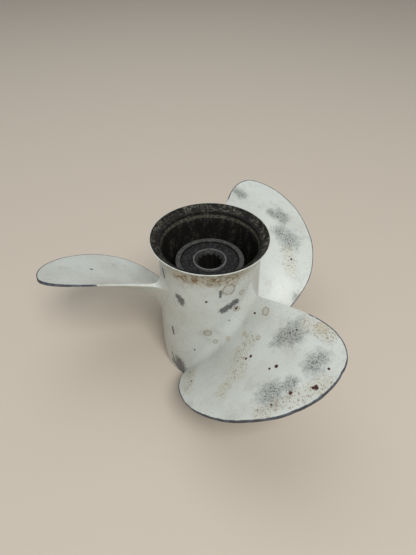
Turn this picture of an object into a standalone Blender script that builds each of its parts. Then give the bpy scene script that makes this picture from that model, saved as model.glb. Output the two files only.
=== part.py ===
"""Outboard propeller: a three-blade through-hub-exhaust casting, its rubber bushing and its splined sleeve.

The frame's origin is on the shaft line, in the plane of the hub's forward face, on which the propeller stands.
+Z runs aft along the shaft, towards the flared end. Angles run counter-clockwise seen from aft, from +X.
"""
import math

import bmesh
import bpy
from mathutils import Vector

# Barrel: the outer tube that carries the blades, in metres
BARREL_LENGTH = 0.1378
FORWARD_RADIUS = 0.04445
BELLY_RADIUS = 0.0454
BELLY_HEIGHT = 0.034
NECK_RADIUS = 0.0433
NECK_HEIGHT = 0.1190
RIM_RADIUS = 0.0498
RIM_THICKNESS = 0.0013
BARREL_BORE = 0.0406
FORWARD_CHAMFER = 0.0006

# Inside of the flared end: a funnel, a turned groove below it and a chamfered ledge below the groove
FUNNEL_DEPTH = 0.0052
FUNNEL_FOOT_RADIUS = 0.0422
GROOVE_WIDTH = 0.0011
GROOVE_DEPTH = 0.0014
GROOVE_LIP = 0.0002
LEDGE_RADIUS = 0.0418
LEDGE_DEPTH = 0.0045

# Boss: the inner tube that holds the bushing
BOSS_RADIUS = 0.0296
BOSS_BORE = 0.0254
BOSS_FORWARD = 0.0060
BOSS_AFT = 0.1131
BOSS_CHAMFER = 0.0008

# Webs between the boss and the barrel
WEB_COUNT = 3
WEB_THICKNESS = 0.0055
WEB_FORWARD = 0.0080
WEB_AFT = 0.0880
WEB_BITE = 0.0012

# Blades: sections lie on cylinders round the shaft
BLADE_COUNT = 3
FIRST_BLADE_ANGLE = math.radians(-61.1)
TIP_RADIUS = 0.1485
BLADE_HEIGHT = 0.0732
PITCH = 0.3740
ROOT_PITCH = 0.4000
ROOT_RAKE = math.radians(21.0)
TIP_RAKE = math.radians(8.2)
EDGE_THICKNESS = 0.0030
TRAILING_THINNING = 0.0015
ROOT_THICKNESS = 0.0085
TIP_THICKNESS = 0.0036
THINNING = 0.7
CAMBER_FULLNESS = 0.8
ROOT_PITCH_FADE = 3
FILLET = 0.0090
LEADING_FILLET = 0.0020
BLADE_BITE = 0.0014
# Outline seen from aft: share of the span from the barrel to the tip, and degrees from the blade's middle line,
# up the trailing edge, round the tip and down the leading edge
OUTLINE = (
    (0.000, 21.6),
    (0.300, 21.0),
    (0.600, 19.9),
    (0.800, 17.2),
    (0.930, 12.9),
    (0.985, 7.0),
    (1.000, 0.8),
    (0.985, -5.2),
    (0.940, -12.6),
    (0.830, -24.0),
    (0.660, -35.6),
    (0.450, -44.9),
    (0.220, -52.4),
    (0.000, -56.8),
)
TIP_POINT = 6

# Rubber bushing, pressed into the boss
FIT_GAP = 0.0003
RUBBER_FORWARD = 0.0180
RUBBER_AFT = 0.1117
RUBBER_CHAMFER = 0.0012

# Splined sleeve, bonded into the bushing
SLEEVE_RADIUS = 0.0147
SLEEVE_FORWARD = 0.0120
SLEEVE_AFT = 0.1130
SLEEVE_CHAMFER = 0.0005
SPLINE_COUNT = 13
SPLINE_ROOT_RADIUS = 0.0111
SPLINE_TIP_RADIUS = 0.0099
SPLINE_TOOTH_SHARE = 0.46
SPLINE_TOOTH_TAPER = 0.80
MOUTH_RADIUS = 0.0122

# Facets
ROUND_STEPS = 60
BORE_STEPS = 48
SPAN_STEPS = 13
CHORD_STEPS = 11
FILLET_STEPS = 3
EDGE_SAMPLES = 120
LAST_ROW = 0.990
CUT_MARGIN = 0.0050
SHARP_ANGLE = math.radians(35.0)


def barrel_radius(z):
    """Outer radius of the barrel at height z: a slight belly, a neck and the flare."""
    if z < BELLY_HEIGHT:
        share = 1.0 - z / BELLY_HEIGHT
        return BELLY_RADIUS + (FORWARD_RADIUS - BELLY_RADIUS) * share ** 2
    if z < NECK_HEIGHT:
        share = (z - BELLY_HEIGHT) / (NECK_HEIGHT - BELLY_HEIGHT)
        ease = 0.5 + 0.5 * math.cos(math.pi * share)
        return NECK_RADIUS + (BELLY_RADIUS - NECK_RADIUS) * ease
    share = (z - NECK_HEIGHT) / (BARREL_LENGTH - NECK_HEIGHT)
    return NECK_RADIUS + (RIM_RADIUS - NECK_RADIUS) * share ** 2


def steps(low, high, count):
    """Evenly spaced values from low to high, both included."""
    return [low + (high - low) * i / count for i in range(count + 1)]


def barrel_profile():
    """The barrel's section as (radius, height), up the outside and down the inside."""
    belly = steps(FORWARD_CHAMFER, BELLY_HEIGHT, 2)
    waist = steps(BELLY_HEIGHT, NECK_HEIGHT, 4)[1:]
    flare = steps(NECK_HEIGHT, BARREL_LENGTH, 5)[1:]
    outside = [(barrel_radius(z), z) for z in belly + waist + flare]
    foot = BARREL_LENGTH - FUNNEL_DEPTH
    rim_bore = RIM_RADIUS - RIM_THICKNESS
    funnel = []
    for share in steps(0.0, 1.0, 3):
        bow = math.sin(0.5 * math.pi * share)
        radius = rim_bore + (FUNNEL_FOOT_RADIUS - rim_bore) * share
        funnel.append((radius, BARREL_LENGTH - FUNNEL_DEPTH * bow))
    groove = [
        (FUNNEL_FOOT_RADIUS + GROOVE_DEPTH, foot - GROOVE_LIP),
        (FUNNEL_FOOT_RADIUS + GROOVE_DEPTH, foot - GROOVE_WIDTH),
        (LEDGE_RADIUS, foot - GROOVE_WIDTH),
    ]
    ledge = (BARREL_BORE, foot - GROOVE_WIDTH - LEDGE_DEPTH)
    forward = [(BARREL_BORE, 0.0), (FORWARD_RADIUS - FORWARD_CHAMFER, 0.0)]
    return outside + funnel + groove + [ledge] + forward


def tube_profile(outer, bore, low, high, chamfer):
    """Section of a tube whose outer edges are chamfered."""
    return [
        (outer - chamfer, low),
        (outer, low + chamfer),
        (outer, high - chamfer),
        (outer - chamfer, high),
        (bore, high),
        (bore, low),
    ]


def finish(bm, name):
    """Turn a bmesh into a linked object with outward faces."""
    bmesh.ops.recalc_face_normals(bm, faces=bm.faces)
    mesh = bpy.data.meshes.new(name)
    bm.to_mesh(mesh)
    bm.free()
    obj = bpy.data.objects.new(name, mesh)
    bpy.context.scene.collection.objects.link(obj)
    return obj


def turned(name, profile, count):
    """Revolve a closed (radius, height) section about the shaft."""
    bm = bmesh.new()
    verts = [bm.verts.new((radius, 0.0, z)) for radius, z in profile]
    edges = [bm.edges.new((verts[i - 1], verts[i])) for i in range(len(verts))]
    bmesh.ops.spin(
        bm,
        geom=verts + edges,
        cent=(0.0, 0.0, 0.0),
        axis=(0.0, 0.0, 1.0),
        angle=2.0 * math.pi,
        steps=count,
        use_merge=True,
        use_normal_flip=False,
    )
    bmesh.ops.remove_doubles(bm, verts=bm.verts, dist=1e-6)
    return finish(bm, name)


def prism(name, outline, low, high):
    """A closed outline in the plane across the shaft, extruded from low to high."""
    bm = bmesh.new()
    face = bm.faces.new([bm.verts.new((x, y, low)) for x, y in outline])
    grown = bmesh.ops.extrude_face_region(bm, geom=[face])
    raised = [v for v in grown["geom"] if isinstance(v, bmesh.types.BMVert)]
    bmesh.ops.translate(bm, verts=raised, vec=(0.0, 0.0, high - low))
    return finish(bm, name)


def polar(radius, angle):
    """A point across the shaft from its radius and angle."""
    return Vector((radius * math.cos(angle), radius * math.sin(angle)))


def root_radius():
    """Where the blades start: inside the barrel's wall."""
    return BARREL_BORE + BLADE_BITE


def outline_points():
    """The blade outline's chosen points across the shaft."""
    span = TIP_RADIUS - root_radius()
    return [
        polar(root_radius() + share * span, math.radians(degrees))
        for share, degrees in OUTLINE
    ]


def smooth_point(points, position):
    """A point on the Catmull-Rom curve through points, at a position counted in points."""
    i = min(int(position), len(points) - 2)
    t = position - i
    b, c = points[i], points[i + 1]
    a = points[i - 1] if i > 0 else b - (c - b)
    d = points[i + 2] if i + 2 < len(points) else c + (c - b)
    square = 2 * a - 5 * b + 4 * c - d
    cube = 3 * b - a - 3 * c + d
    return 0.5 * (2 * b + (c - a) * t + square * t ** 2 + cube * t ** 3)


def edge_line(points, leading):
    """One edge of the blade as closely spaced points, from the root to the tip."""
    last = len(points) - 1
    start = last if leading else 0
    return [
        smooth_point(points, start + (TIP_POINT - start) * i / EDGE_SAMPLES)
        for i in range(EDGE_SAMPLES + 1)
    ]


def line_length(line):
    """Length of a line of points."""
    return sum((b - a).length for a, b in zip(line, line[1:]))


def edge_at(line, share):
    """Radius and angle of the point at a share of an edge's length."""
    left = share * line_length(line)
    for a, b in zip(line, line[1:]):
        piece = (b - a).length
        if left <= piece:
            point = a.lerp(b, left / piece)
            return point.length, math.atan2(point.y, point.x)
        left -= piece
    return line[-1].length, math.atan2(line[-1].y, line[-1].x)


def span_share(radius):
    """Share of the blade's span at a radius."""
    return (radius - root_radius()) / (TIP_RADIUS - root_radius())


def lead(radius):
    """Rise of the blade's face per radian at a radius."""
    inward = (1.0 - span_share(radius)) ** ROOT_PITCH_FADE
    return (PITCH + (ROOT_PITCH - PITCH) * inward) / (2.0 * math.pi)


def face_height(radius, angle):
    """Height of the blade's aft face: a raked helicoid."""
    out = radius - root_radius()
    span = TIP_RADIUS - root_radius()
    rake = math.tan(ROOT_RAKE) * out
    rake += (math.tan(TIP_RAKE) - math.tan(ROOT_RAKE)) * out ** 2 / (2.0 * span)
    return BLADE_HEIGHT + rake + lead(radius) * angle


def fillet_rise(radius, z, across):
    """How far the root fillet lifts the blade's skin off its section; it is smaller towards the leading edge."""
    size = LEADING_FILLET + (FILLET - LEADING_FILLET) * math.sin(0.5 * math.pi * min(2.0 * across, 1.0))
    gap = min(max(radius - barrel_radius(z), 0.0), size)
    return size - math.sqrt(size ** 2 - (size - gap) ** 2)


def thickness(radius, across):
    """Section thickness at a share across the chord, from the leading edge to the trailing one."""
    share = min(max(span_share(radius), 0.0), 1.0)
    middle = ROOT_THICKNESS + (TIP_THICKNESS - ROOT_THICKNESS) * share ** THINNING
    bulge = (4.0 * across * (1.0 - across)) ** CAMBER_FULLNESS
    edge = EDGE_THICKNESS - TRAILING_THINNING * across * math.sin(math.pi * share)
    return edge + (middle - edge) * bulge


def blade_point(radius, angle, depth, phase):
    """A point depth forward of the aft face, measured square to the section's chord on its cylinder."""
    rise = lead(radius)
    slope = math.hypot(rise, radius)
    turn = angle + depth * rise / slope / radius
    z = face_height(radius, angle) - depth * radius / slope
    flat = polar(radius, turn + phase)
    return Vector((flat.x, flat.y, z))


def span_rows(length):
    """Shares along the edges at which the blade has a row: close at the fillet, and close again at the tip."""
    surface = (BELLY_RADIUS - root_radius()) / length
    rows = [0.0]
    for i in range(FILLET_STEPS + 1):
        climb = 1.0 - math.cos(0.5 * math.pi * i / FILLET_STEPS)
        rows.append(surface + climb * FILLET / length)
    foot = rows[-1]
    for i in range(1, SPAN_STEPS + 1):
        rows.append(foot + (LAST_ROW - foot) * math.sin(0.5 * math.pi * i / SPAN_STEPS))
    return rows


def blade_row(lead_line, trail_line, share, phase):
    """Two lines of points across one row: the aft face's and the forward face's."""
    r_lead, a_lead = edge_at(lead_line, share)
    r_trail, a_trail = edge_at(trail_line, share)
    aft = []
    forward = []
    for i in range(CHORD_STEPS + 1):
        across = 0.5 - 0.5 * math.cos(math.pi * i / CHORD_STEPS)
        radius = r_lead + (r_trail - r_lead) * across
        angle = a_lead + (a_trail - a_lead) * across
        lift = fillet_rise(radius, face_height(radius, angle), across)
        angle += (2.0 * across - 1.0) * lift / radius
        aft.append(blade_point(radius, angle, -lift, phase))
        forward.append(blade_point(radius, angle, thickness(radius, across) + lift, phase))
    return aft, forward


def blade(name, phase):
    """One blade as a closed skin: rows of points joined face to face, with an end cap inside the barrel's wall."""
    bm = bmesh.new()
    points = outline_points()
    lead_line = edge_line(points, True)
    trail_line = edge_line(points, False)
    loops = []
    for share in span_rows(line_length(trail_line)):
        aft, forward = blade_row(lead_line, trail_line, share, phase)
        loops.append([bm.verts.new(p) for p in aft + forward[::-1]])
    for near, far in zip(loops, loops[1:]):
        for i in range(len(near)):
            j = (i + 1) % len(near)
            bm.faces.new((near[i], near[j], far[j], far[i]))
    width = CHORD_STEPS + 1
    for loop in (loops[0], loops[-1]):
        for i in range(CHORD_STEPS):
            across = 2 * width - 1 - i
            bm.faces.new((loop[i], loop[i + 1], loop[across - 1], loop[across]))
    return finish(bm, name)


def web(name, angle):
    """A straight web whose ends bite into the boss and the barrel."""
    inner = BOSS_RADIUS - WEB_BITE
    outer = BARREL_BORE + WEB_BITE
    half = 0.5 * WEB_THICKNESS
    corners = ((inner, -half), (outer, -half), (outer, half), (inner, half))
    along = polar(1.0, angle)
    turned_corners = [(x * along.x - y * along.y, x * along.y + y * along.x) for x, y in corners]
    return prism(name, turned_corners, WEB_FORWARD, WEB_AFT)


def web_angle(index):
    """Webs stand under the middle of the blade roots."""
    root_middle = math.radians(0.5 * (OUTLINE[0][1] + OUTLINE[-1][1]))
    return FIRST_BLADE_ANGLE + root_middle + 2.0 * math.pi * index / WEB_COUNT


def combine(obj, tool, operation):
    """Join a tool to an object, or cut it away, and delete the tool."""
    modifier = obj.modifiers.new(operation.title(), "BOOLEAN")
    modifier.operation = operation
    modifier.solver = "EXACT"
    modifier.object = tool
    bpy.context.view_layer.update()
    evaluated = obj.evaluated_get(bpy.context.evaluated_depsgraph_get())
    result = bpy.data.meshes.new_from_object(evaluated)
    old = obj.data
    obj.modifiers.clear()
    obj.data = result
    bpy.data.meshes.remove(old)
    bpy.data.objects.remove(tool)


def casting():
    """The whole casting: barrel, boss, webs and blades in one piece of metal."""
    body = turned("casting", barrel_profile(), ROUND_STEPS)
    boss_profile = tube_profile(BOSS_RADIUS, BOSS_BORE, BOSS_FORWARD, BOSS_AFT, BOSS_CHAMFER)
    boss = turned("boss", boss_profile, ROUND_STEPS)
    for i in range(WEB_COUNT):
        combine(boss, web("web", web_angle(i)), "UNION")
    combine(body, boss, "UNION")
    for i in range(BLADE_COUNT):
        phase = FIRST_BLADE_ANGLE + 2.0 * math.pi * i / BLADE_COUNT
        combine(body, blade("blade", phase), "UNION")
    return body


def rubber_bushing():
    """The rubber ring between the boss and the sleeve."""
    outer = BOSS_BORE - FIT_GAP
    bore = SLEEVE_RADIUS + FIT_GAP
    profile = tube_profile(outer, bore, RUBBER_FORWARD, RUBBER_AFT, RUBBER_CHAMFER)
    return turned("rubber_bushing", profile, ROUND_STEPS)


def spline_outline():
    """The sleeve's bore across the shaft: broad grooves between straight teeth."""
    pitch = 2.0 * math.pi / SPLINE_COUNT
    half_tooth = 0.5 * SPLINE_TOOTH_SHARE * pitch
    outline = []
    for i in range(SPLINE_COUNT):
        middle = i * pitch
        outline.append(polar(SPLINE_TIP_RADIUS, middle - SPLINE_TOOTH_TAPER * half_tooth))
        outline.append(polar(SPLINE_TIP_RADIUS, middle + SPLINE_TOOTH_TAPER * half_tooth))
        outline.append(polar(SPLINE_ROOT_RADIUS, middle + half_tooth))
        outline.append(polar(SPLINE_ROOT_RADIUS, middle + pitch - half_tooth))
    return outline


def splined_sleeve():
    """The metal sleeve that slides on the shaft, countersunk at its aft mouth."""
    profile = [
        (SLEEVE_RADIUS - SLEEVE_CHAMFER, SLEEVE_FORWARD),
        (SLEEVE_RADIUS, SLEEVE_FORWARD + SLEEVE_CHAMFER),
        (SLEEVE_RADIUS, SLEEVE_AFT - SLEEVE_CHAMFER),
        (SLEEVE_RADIUS - SLEEVE_CHAMFER, SLEEVE_AFT),
        (0.0, SLEEVE_AFT),
        (0.0, SLEEVE_FORWARD),
    ]
    sleeve = turned("splined_sleeve", profile, BORE_STEPS)
    bore = prism("bore", spline_outline(), SLEEVE_FORWARD - CUT_MARGIN, SLEEVE_AFT + CUT_MARGIN)
    combine(sleeve, bore, "DIFFERENCE")
    countersink = turned(
        "countersink",
        [
            (0.0, SLEEVE_AFT - MOUTH_RADIUS),
            (MOUTH_RADIUS, SLEEVE_AFT),
            (MOUTH_RADIUS, SLEEVE_AFT + CUT_MARGIN),
            (0.0, SLEEVE_AFT + CUT_MARGIN),
        ],
        BORE_STEPS,
    )
    combine(sleeve, countersink, "DIFFERENCE")
    return sleeve


def shade(obj):
    """Smooth shading that keeps the turned corners sharp."""
    obj.data.shade_smooth()
    obj.data.set_sharp_from_angle(angle=SHARP_ANGLE)


def coat(obj, name, colour, roughness, metallic):
    """Give an object its own material."""
    material = bpy.data.materials.new(name)
    material.use_nodes = True
    shader = material.node_tree.nodes["Principled BSDF"]
    shader.inputs["Base Color"].default_value = (*colour, 1.0)
    shader.inputs["Roughness"].default_value = roughness
    shader.inputs["Metallic"].default_value = metallic
    obj.data.materials.clear()
    obj.data.materials.append(material)


def clear_scene():
    """Start from an empty scene."""
    for obj in list(bpy.data.objects):
        bpy.data.objects.remove(obj)


def main():
    clear_scene()
    pieces = (
        (casting(), "casting_paint", (0.58, 0.57, 0.52), 0.45, 0.0),
        (rubber_bushing(), "bushing_rubber", (0.030, 0.030, 0.031), 0.75, 0.0),
        (splined_sleeve(), "sleeve_metal", (0.30, 0.29, 0.27), 0.45, 0.9),
    )
    for obj, name, colour, roughness, metallic in pieces:
        shade(obj)
        coat(obj, name, colour, roughness, metallic)


main()
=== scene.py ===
"""Dresses the outboard propeller: worn white paint, soot inside the barrel, rubber and sleeve in the boss.

Laid out as an add-on and run as a script. Lengths are metres in the frame's axes. The shaft line is Z, aft
is up, and angles run counter-clockwise seen from aft.
"""
import math

import bpy
from bpy.props import FloatProperty, FloatVectorProperty, IntProperty, PointerProperty
from mathutils import Matrix, Vector, kdtree, noise


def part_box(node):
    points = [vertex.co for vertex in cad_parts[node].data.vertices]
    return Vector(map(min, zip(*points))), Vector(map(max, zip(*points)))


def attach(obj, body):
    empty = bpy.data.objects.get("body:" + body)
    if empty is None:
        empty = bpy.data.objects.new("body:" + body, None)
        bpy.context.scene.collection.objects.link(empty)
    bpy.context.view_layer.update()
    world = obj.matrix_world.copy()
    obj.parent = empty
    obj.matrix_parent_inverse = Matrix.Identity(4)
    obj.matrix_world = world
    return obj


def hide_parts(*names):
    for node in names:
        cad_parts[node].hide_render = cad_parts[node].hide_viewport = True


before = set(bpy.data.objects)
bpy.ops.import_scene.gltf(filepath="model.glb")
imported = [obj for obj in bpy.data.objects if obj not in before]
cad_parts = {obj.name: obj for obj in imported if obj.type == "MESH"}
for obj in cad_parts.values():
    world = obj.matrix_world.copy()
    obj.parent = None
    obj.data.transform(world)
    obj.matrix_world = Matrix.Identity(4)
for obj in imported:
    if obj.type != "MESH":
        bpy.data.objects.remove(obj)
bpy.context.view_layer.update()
CASTING_LOW, CASTING_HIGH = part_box("casting")
BUSHING_LOW, BUSHING_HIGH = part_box("rubber_bushing")
SLEEVE_LOW, SLEEVE_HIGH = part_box("splined_sleeve")

bl_info = {
    "name": "Outboard Propeller",
    "version": (1, 0, 0),
    "blender": (4, 5, 0),
    "location": "View3D > Sidebar > Propeller",
    "description": "Dresses a through-hub-exhaust outboard propeller in worn paint, soot, rubber and metal",
    "category": "Object",
}

BLADE_COUNT = 3
TURN = 2.0 * math.pi

# Blade outline seen from aft: share of the span from the barrel to the tip, and degrees from the blade's
# middle line, up the trailing edge, round the tip and down the leading edge
OUTLINE = (
    (0.000, 21.6),
    (0.300, 21.0),
    (0.600, 19.9),
    (0.800, 17.2),
    (0.930, 12.9),
    (0.985, 7.0),
    (1.000, 0.8),
    (0.985, -5.2),
    (0.940, -12.6),
    (0.830, -24.0),
    (0.660, -35.6),
    (0.450, -44.9),
    (0.220, -52.4),
    (0.000, -56.8),
)
TIP_POINT = 6

# Marks on the blades' aft faces: blade, radius, degrees from its middle line, size
RUST_SPOTS = (
    (0, 0.141, 1.5, 0.0016),
    (0, 0.140, 0.9, 0.0010),
    (0, 0.108, -2.2, 0.0013),
    (0, 0.106, -4.5, 0.0009),
    (0, 0.133, -4.4, 0.0012),
    (0, 0.133, -10.4, 0.0007),
    (0, 0.137, 7.4, 0.0009),
    (0, 0.057, 11.5, 0.0010),
    (0, 0.084, -9.2, 0.0009),
    (0, 0.085, -6.9, 0.0012),
    (0, 0.077, -40.4, 0.0010),
    (0, 0.060, -45.4, 0.0008),
    (0, 0.098, 12.8, 0.0008),
    (1, 0.101, -24.8, 0.0011),
    (2, 0.111, -7.6, 0.0015),
)
SMUDGES = (
    (0, 0.097, 11.2, 0.0085),
    (0, 0.092, 7.5, 0.0060),
    (0, 0.126, -7.6, 0.0085),
    (0, 0.127, -2.4, 0.0050),
    (0, 0.127, 7.7, 0.0070),
    (1, 0.124, -5.5, 0.0065),
    (1, 0.119, -2.0, 0.0045),
    (1, 0.111, -15.2, 0.0095),
    (1, 0.109, -10.0, 0.0060),
    (1, 0.115, 16.4, 0.0060),
    (1, 0.092, -44.0, 0.0050),
)
CREAM_SPOTS = (
    (0, 0.052, -10.5, 0.0022),
    (0, 0.062, -1.7, 0.0020),
    (0, 0.114, 17.5, 0.0050),
    (0, 0.048, -3.6, 0.0012),
)
BLADE_RINGS = ((0, 0.065, 14.8, 0.0036), (0, 0.076, 1.3, 0.0022))

# Bands of brown specks on the blades: blade, then radius and degrees of both ends, size
SPECK_BANDS = (
    (0, 0.070, -3.0, 0.090, -16.0, 0.0080),
    (0, 0.090, -16.0, 0.104, -24.0, 0.0050),
    (0, 0.135, -14.0, 0.144, 4.0, 0.0060),
    (0, 0.102, 17.0, 0.122, 15.5, 0.0055),
    (0, 0.060, -44.0, 0.090, -40.0, 0.0050),
    (1, 0.095, -30.0, 0.104, -20.0, 0.0060),
)

# Marks on the barrel: degrees and height of both ends, size
BARREL_PATCHES = (
    (-125.5, 0.1015, -122.0, 0.0980, 0.0036),
    (-76.0, 0.0928, -61.0, 0.0988, 0.0030),
    (-152.7, 0.1180, -150.0, 0.1120, 0.0018),
    (-137.5, 0.0600, -135.5, 0.0520, 0.0012),
    (-129.5, 0.0160, -128.0, 0.0050, 0.0058),
    (-140.0, 0.0090, -126.0, 0.0020, 0.0032),
    (-142.0, 0.0208, -139.0, 0.0120, 0.0012),
    (-78.6, 0.1150, -78.6, 0.1090, 0.0012),
)
BARREL_RINGS = (
    (-53.2, 0.1066, 0.0026),
    (-69.4, 0.1151, 0.0060),
    (-92.3, 0.0678, 0.0036),
    (-83.4, 0.0579, 0.0025),
    (-59.7, 0.0909, 0.0030),
)
BARREL_SPOTS = (
    (-59.7, 0.0909, 0.0013),
    (-107.0, 0.0436, 0.0009),
    (-93.8, 0.1039, 0.0010),
    (-68.2, 0.0798, 0.0007),
)

# Brown stain on the front of the barrel below the rim: heights, and angles in radians, over which it fades
# in and out
STAIN_FOOT = (0.1165, 0.1265)
STAIN_TOP = (0.1345, 0.1370)
STAIN_START = (-2.50, -2.10)
STAIN_END = (-1.15, -0.75)

# The trailing edge keeps its paint inboard of the first radius; outboard of the second it is worn to metal
# and darkened with painted shade
PAINTED_EDGE = 0.090
BARE_SHADE_EDGE = 0.108

# How far in from a blade's edge the strip of worn metal and painted shade reaches, and where the paint is
# whole again
BARE_SHADE_STRIP = (0.00070, 0.00095)

# Specular level of what soot and dust have dulled
DULL_SPECULAR = 0.15

# Rows and columns of a blade's grid, and how far along the edges its last row lies
SPAN_ROWS = 84
FILLET_ROWS = 9
CHORD_COLUMNS = 40
LAST_ROW = 0.996

# Points along a blade's edge, how many of them the nicks take to fade in or out, and the nicks' noise: its
# scale, and where the leading and the trailing edges read it
EDGE_STEPS = 400
EDGE_FADE = 40.0
NICK_SCALE = 160.0
LEADING_SEED = 3.0
TRAILING_SEED = 9.0

# Sides of the turned pieces
BARREL_SIDES = 192
BOSS_SIDES = 128
BUSHING_SIDES = 128
SLEEVE_SIDES = 104

# Share of a tooth's pitch that the tooth fills at its root, and how much of that its tip keeps
TOOTH_SHARE = 0.46
TOOTH_TIP = 0.8

# How far past the bore's radius a face still counts as inside the barrel
INSIDE_MARGIN = 0.0020

# Top of the floor below the forward face, and the floor's side
FLOOR_GAP = 0.0002
FLOOR_SIDE = 8.0


class PropellerSizes(bpy.types.PropertyGroup):
    """Sizes of the barrel, the boss and the webs."""

    belly_radius: FloatProperty(
        name="Belly radius", description="Largest radius of the barrel", default=0.0454, unit="LENGTH")
    belly_height: FloatProperty(
        name="Belly height", description="Height of the barrel's largest radius",
        default=0.034, unit="LENGTH")
    forward_radius: FloatProperty(
        name="Forward radius", description="Radius at the forward face", default=0.04445, unit="LENGTH")
    neck_radius: FloatProperty(
        name="Neck radius", description="Smallest radius, below the flare", default=0.0433, unit="LENGTH")
    neck_height: FloatProperty(
        name="Neck height", description="Where the flare begins", default=0.119, unit="LENGTH")
    length: FloatProperty(
        name="Barrel length", description="From the forward face to the rim",
        default=CASTING_HIGH.z - CASTING_LOW.z, unit="LENGTH")
    rim_radius: FloatProperty(
        name="Rim radius", description="Radius of the flared rim", default=0.0498, unit="LENGTH")
    rim_thickness: FloatProperty(
        name="Rim thickness", description="Width of the rim's edge", default=0.0013, unit="LENGTH")
    bore: FloatProperty(
        name="Barrel bore", description="Inner radius of the barrel", default=0.0406, unit="LENGTH")
    funnel_depth: FloatProperty(
        name="Funnel depth", description="From the rim down to the groove", default=0.0052, unit="LENGTH")
    funnel_foot: FloatProperty(
        name="Funnel foot", description="Radius where the funnel meets the groove",
        default=0.0422, unit="LENGTH")
    groove_width: FloatProperty(
        name="Groove width", description="Height of the turned groove", default=0.0011, unit="LENGTH")
    groove_depth: FloatProperty(
        name="Groove depth", description="How far the groove cuts into the wall",
        default=0.0014, unit="LENGTH")
    ledge_radius: FloatProperty(
        name="Ledge radius", description="Radius of the ledge below the groove",
        default=0.0418, unit="LENGTH")
    ledge_depth: FloatProperty(
        name="Ledge depth", description="Height of the chamfered ledge", default=0.0045, unit="LENGTH")
    boss_radius: FloatProperty(
        name="Boss radius", description="Outer radius of the inner tube", default=0.0296, unit="LENGTH")
    boss_bore: FloatProperty(
        name="Boss bore", description="Inner radius of the inner tube", default=0.0254, unit="LENGTH")
    boss_forward: FloatProperty(
        name="Boss forward end", description="Height of the boss's forward end", default=0.006, unit="LENGTH")
    boss_aft: FloatProperty(
        name="Boss aft end", description="Height of the boss's aft face", default=0.1131, unit="LENGTH")
    web_thickness: FloatProperty(
        name="Web thickness", description="Thickness of each web", default=0.0055, unit="LENGTH")
    web_forward: FloatProperty(
        name="Web forward end", description="Height of the webs' forward edge", default=0.008, unit="LENGTH")
    web_aft: FloatProperty(
        name="Web aft end", description="Height of the webs' aft edge", default=0.088, unit="LENGTH")


class PropellerBlades(bpy.types.PropertyGroup):
    """The blades' place, pitch, rake and thickness."""

    first_angle: FloatProperty(
        name="First blade", description="Angle of the first blade's middle line",
        default=math.radians(-61.1), subtype="ANGLE")
    tip_radius: FloatProperty(
        name="Tip radius", description="Radius of the blade tips", default=0.1485, unit="LENGTH")
    height: FloatProperty(
        name="Blade height", description="Height of the middle line at the root",
        default=0.0732, unit="LENGTH")
    pitch: FloatProperty(
        name="Pitch", description="Rise of the face in one turn", default=0.374, unit="LENGTH")
    root_pitch: FloatProperty(
        name="Root pitch", description="Rise at the root in one turn", default=0.400, unit="LENGTH")
    root_rake: FloatProperty(
        name="Root rake", description="Slope of the middle line at the root",
        default=math.radians(21.0), subtype="ANGLE")
    tip_rake: FloatProperty(
        name="Tip rake", description="Slope of the middle line at the tip",
        default=math.radians(8.2), subtype="ANGLE")
    edge_thickness: FloatProperty(
        name="Edge thickness", description="Thickness at the blade's edges", default=0.003, unit="LENGTH")
    trailing_thinning: FloatProperty(
        name="Trailing thinning", description="How much thinner the trailing edge gets at mid-span",
        default=0.0015, unit="LENGTH")
    root_thickness: FloatProperty(
        name="Root thickness", description="Thickness at the root's middle", default=0.0085, unit="LENGTH")
    tip_thickness: FloatProperty(
        name="Tip thickness", description="Thickness near the tip", default=0.0036, unit="LENGTH")
    fillet: FloatProperty(
        name="Root fillet", description="Fillet between blade and barrel", default=0.009, unit="LENGTH")
    leading_fillet: FloatProperty(
        name="Leading fillet", description="Fillet at the leading end of the root",
        default=0.002, unit="LENGTH")
    bite: FloatProperty(
        name="Bite", description="How far the blade starts inside the wall", default=0.0014, unit="LENGTH")
    edge_round: FloatProperty(
        name="Edge rounding", description="Rounding of the blade's edges", default=0.0006, unit="LENGTH")
    nick: FloatProperty(
        name="Nicks", description="How deep wear has cut into the edges", default=0.0003, unit="LENGTH")


class PropellerCore(bpy.types.PropertyGroup):
    """The rubber bushing and the splined sleeve."""

    sleeve_radius: FloatProperty(
        name="Sleeve radius", description="Outer radius of the sleeve",
        default=0.5 * (SLEEVE_HIGH.x - SLEEVE_LOW.x), unit="LENGTH")
    bushing_radius: FloatProperty(
        name="Bushing radius", description="Outer radius of the rubber",
        default=0.5 * (BUSHING_HIGH.x - BUSHING_LOW.x), unit="LENGTH")
    clearance: FloatProperty(
        name="Clearance", description="Gap between neighbours", default=0.0003, unit="LENGTH")
    spline_count: IntProperty(
        name="Splines", description="Teeth in the sleeve", default=13)
    spline_root: FloatProperty(
        name="Spline root", description="Radius of the grooves between teeth", default=0.0111, unit="LENGTH")
    spline_tip: FloatProperty(
        name="Spline tip", description="Radius of the teeth's tips", default=0.0099, unit="LENGTH")
    mouth_radius: FloatProperty(
        name="Mouth radius", description="Radius of the countersunk mouth", default=0.0132, unit="LENGTH")


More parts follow.
